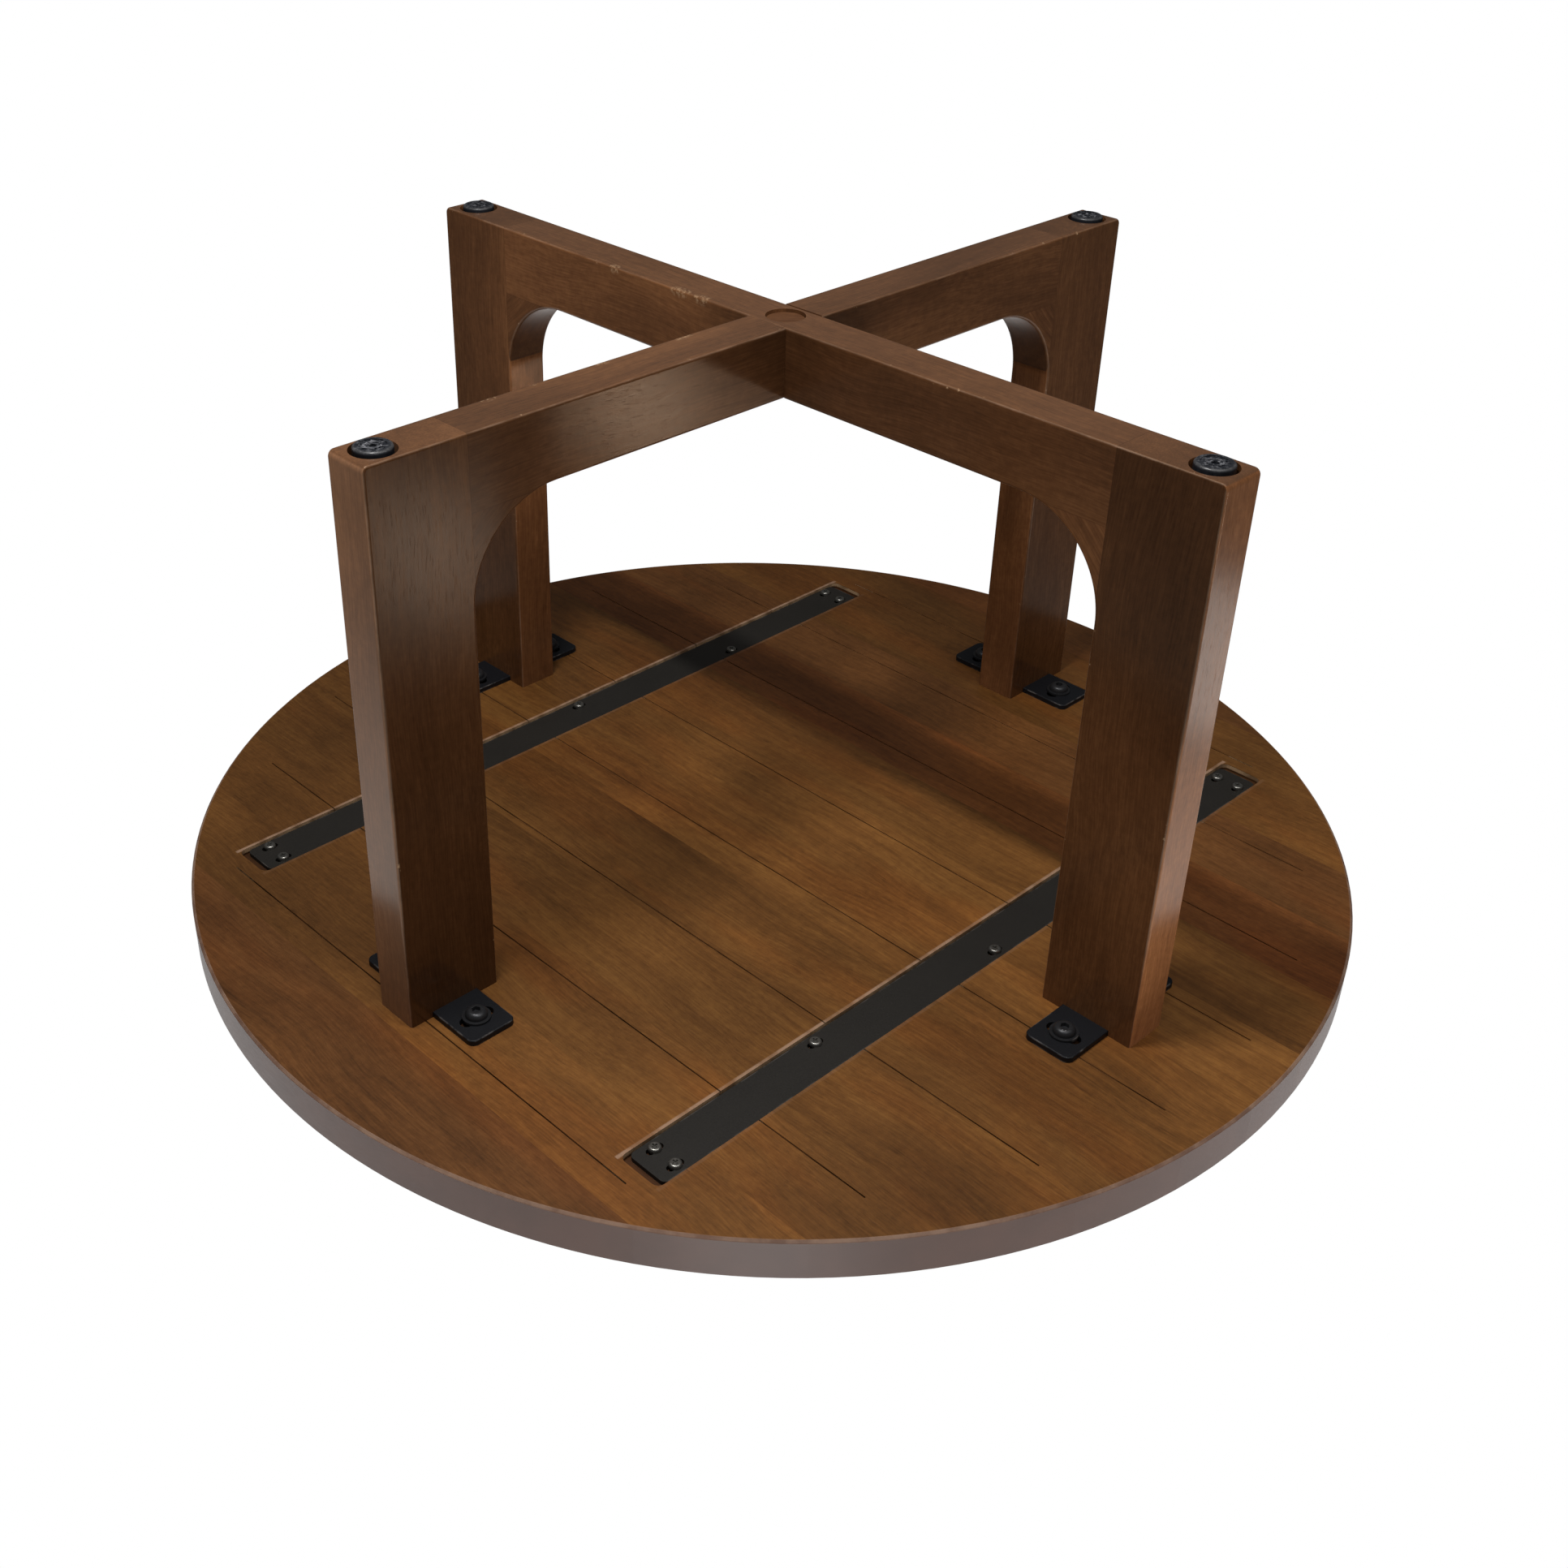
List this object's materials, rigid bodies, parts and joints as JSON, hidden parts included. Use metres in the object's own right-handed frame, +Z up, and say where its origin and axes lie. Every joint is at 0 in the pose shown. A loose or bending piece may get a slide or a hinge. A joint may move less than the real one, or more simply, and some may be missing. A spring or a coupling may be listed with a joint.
{
  "type": "round low table",
  "caption": "Low round wooden table: glued-board top with steel channels let in below, on crossed half-lapped leg frames bolted through slotted plates, with screw-in levelling feet.",
  "frame": {"origin": "centre of the four feet on the floor plane, under the centre of the round top", "axes": "+Z up, from the floor to the tabletop; +X along the leg frame whose rail is notched from below and across the boards' joints; +Y along the other leg frame"},
  "size_m": [0.8, 0.8, 0.4],
  "materials": {
    "top_board_01": "satin oil finish, fine grain",
    "top_board_02": "satin oil finish, fine grain",
    "top_board_03": "satin oil finish, fine grain",
    "top_board_04": "satin oil finish, fine grain",
    "top_board_05": "satin oil finish, fine grain",
    "top_board_06": "satin oil finish, fine grain",
    "top_board_07": "satin oil finish, fine grain",
    "top_board_08": "satin oil finish, fine grain",
    "top_board_09": "satin oil finish, fine grain",
    "top_board_10": "satin oil finish, fine grain",
    "top_board_11": "satin oil finish, fine grain",
    "top_board_12": "satin oil finish, fine grain",
    "top_board_13": "satin oil finish, fine grain",
    "rail_x": "satin oil finish, fine grain",
    "rail_y": "satin oil finish, fine grain",
    "leg_1": "satin oil finish, fine grain",
    "corner_block_1": "satin oil finish, fine grain",
    "mounting_plate_1": "fine matt black powder coat",
    "foot_pad_1": "black moulded plastic with a worn grey dish",
    "foot_stud_1": "zinc plated",
    "leg_2": "satin oil finish, fine grain",
    "corner_block_2": "satin oil finish, fine grain",
    "mounting_plate_2": "fine matt black powder coat",
    "foot_pad_2": "black moulded plastic with a worn grey dish",
    "foot_stud_2": "zinc plated",
    "leg_3": "satin oil finish, fine grain",
    "corner_block_3": "satin oil finish, fine grain",
    "mounting_plate_3": "fine matt black powder coat",
    "foot_pad_3": "black moulded plastic with a worn grey dish",
    "foot_stud_3": "zinc plated",
    "leg_4": "satin oil finish, fine grain",
    "corner_block_4": "satin oil finish, fine grain",
    "mounting_plate_4": "fine matt black powder coat",
    "foot_pad_4": "black moulded plastic with a worn grey dish",
    "foot_stud_4": "zinc plated",
    "rail_dowels": "raw beech",
    "centre_plug": "satin oil finish, fine grain",
    "centre_screw": "zinc plated",
    "steel_channel_1": "matt black-brown powder coat",
    "channel_screws_1": "black phosphated screw",
    "steel_channel_2": "matt black-brown powder coat",
    "channel_screws_2": "black phosphated screw",
    "base_bolts": "black oxide, satin",
    "base_washers": "black oxide",
    "top_inserts": "zinc plated",
    "plate_screws": "zinc plated",
    "leg_inserts": "zinc plated"
  },
  "bodies": {
    "table": {"top_board_01": "top_board_01", "top_board_02": "top_board_02", "top_board_03": "top_board_03", "top_board_04": "top_board_04", "top_board_05": "top_board_05", "top_board_06": "top_board_06", "top_board_07": "top_board_07", "top_board_08": "top_board_08", "top_board_09": "top_board_09", "top_board_10": "top_board_10", "top_board_11": "top_board_11", "top_board_12": "top_board_12", "top_board_13": "top_board_13", "rail_x": "rail_x", "rail_y": "rail_y", "leg_1": "leg_1", "corner_block_1": "corner_block_1", "mounting_plate_1": "mounting_plate_1", "leg_2": "leg_2", "corner_block_2": "corner_block_2", "mounting_plate_2": "mounting_plate_2", "leg_3": "leg_3", "corner_block_3": "corner_block_3", "mounting_plate_3": "mounting_plate_3", "leg_4": "leg_4", "corner_block_4": "corner_block_4", "mounting_plate_4": "mounting_plate_4", "rail_dowels": "rail_dowels", "centre_plug": "centre_plug", "centre_screw": "centre_screw", "steel_channel_1": "steel_channel_1", "channel_screws_1": "channel_screws_1", "steel_channel_2": "steel_channel_2", "channel_screws_2": "channel_screws_2", "base_bolts": "base_bolts", "base_washers": "base_washers", "top_inserts": "top_inserts", "plate_screws": "plate_screws", "leg_inserts": "leg_inserts"},
    "stud_1": {"foot_stud_1": "foot_stud_1"},
    "pad_1": {"foot_pad_1": "foot_pad_1"},
    "stud_2": {"foot_stud_2": "foot_stud_2"},
    "pad_2": {"foot_pad_2": "foot_pad_2"},
    "stud_3": {"foot_stud_3": "foot_stud_3"},
    "pad_3": {"foot_pad_3": "foot_pad_3"},
    "stud_4": {"foot_stud_4": "foot_stud_4"},
    "pad_4": {"foot_pad_4": "foot_pad_4"}
  },
  "joints": [
    {"name": "foot_1_travel", "type": "slide", "parent": "table", "child": "stud_1", "axis": [0, 0, 1], "range_m": [-0.008, 0.004]},
    {"name": "foot_1_turn", "type": "hinge", "parent": "stud_1", "child": "pad_1", "pos_m": [-0.304, 0, 0], "axis": [0, 0, 1], "range_deg": [-2300, 1150]},
    {"name": "foot_2_travel", "type": "slide", "parent": "table", "child": "stud_2", "axis": [0, 0, 1], "range_m": [-0.008, 0.004]},
    {"name": "foot_2_turn", "type": "hinge", "parent": "stud_2", "child": "pad_2", "pos_m": [0, 0.304, 0], "axis": [0, 0, 1], "range_deg": [-2300, 1150]},
    {"name": "foot_3_travel", "type": "slide", "parent": "table", "child": "stud_3", "axis": [0, 0, 1], "range_m": [-0.008, 0.004]},
    {"name": "foot_3_turn", "type": "hinge", "parent": "stud_3", "child": "pad_3", "pos_m": [0.304, 0, 0], "axis": [0, 0, 1], "range_deg": [-2300, 1150]},
    {"name": "foot_4_travel", "type": "slide", "parent": "table", "child": "stud_4", "axis": [0, 0, 1], "range_m": [-0.008, 0.004]},
    {"name": "foot_4_turn", "type": "hinge", "parent": "stud_4", "child": "pad_4", "pos_m": [0, -0.304, 0], "axis": [0, 0, 1], "range_deg": [-2300, 1150]}
  ],
  "couplings": [
    {"joint": "foot_1_travel", "follows": "foot_1_turn", "m_per_rad": 0.00019894},
    {"joint": "foot_2_travel", "follows": "foot_2_turn", "m_per_rad": 0.00019894},
    {"joint": "foot_3_travel", "follows": "foot_3_turn", "m_per_rad": 0.00019894},
    {"joint": "foot_4_travel", "follows": "foot_4_turn", "m_per_rad": 0.00019894}
  ]
}
